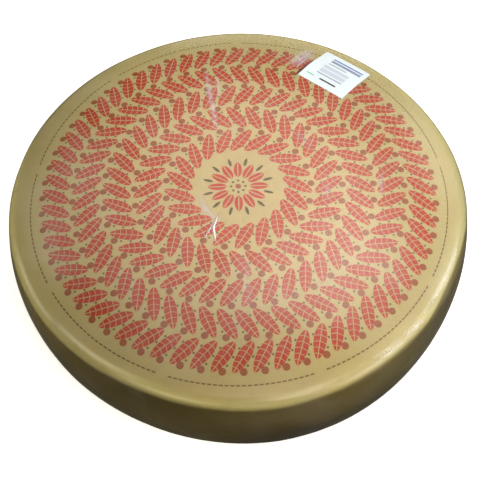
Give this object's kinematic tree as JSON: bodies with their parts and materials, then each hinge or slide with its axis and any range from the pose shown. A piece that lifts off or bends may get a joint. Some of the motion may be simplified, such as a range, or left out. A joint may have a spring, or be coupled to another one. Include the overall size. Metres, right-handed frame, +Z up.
{
  "type": "emmental cheese wheel",
  "caption": "Whole uncut round hard cheese with a low domed top, a bulged side and a flat foot, wrapped tight in clear film, with a paper label on top.",
  "frame": {"origin": "on the ground under the middle of the wheel", "axes": "+Z up out of the domed top, +X to the viewer's right, +Y away from the viewer"},
  "size_m": [0.8242, 0.8224, 0.2019],
  "materials": {
    "rind": "satin, wrapped in clear film",
    "label_paper": "matt white label paper",
    "print_ink": "red and olive ink printed on the rind",
    "clear_film": "thin glossy clear plastic film"
  },
  "bodies": {
    "root": {"wheel": "rind", "label": "label_paper"}
  },
  "joints": []
}
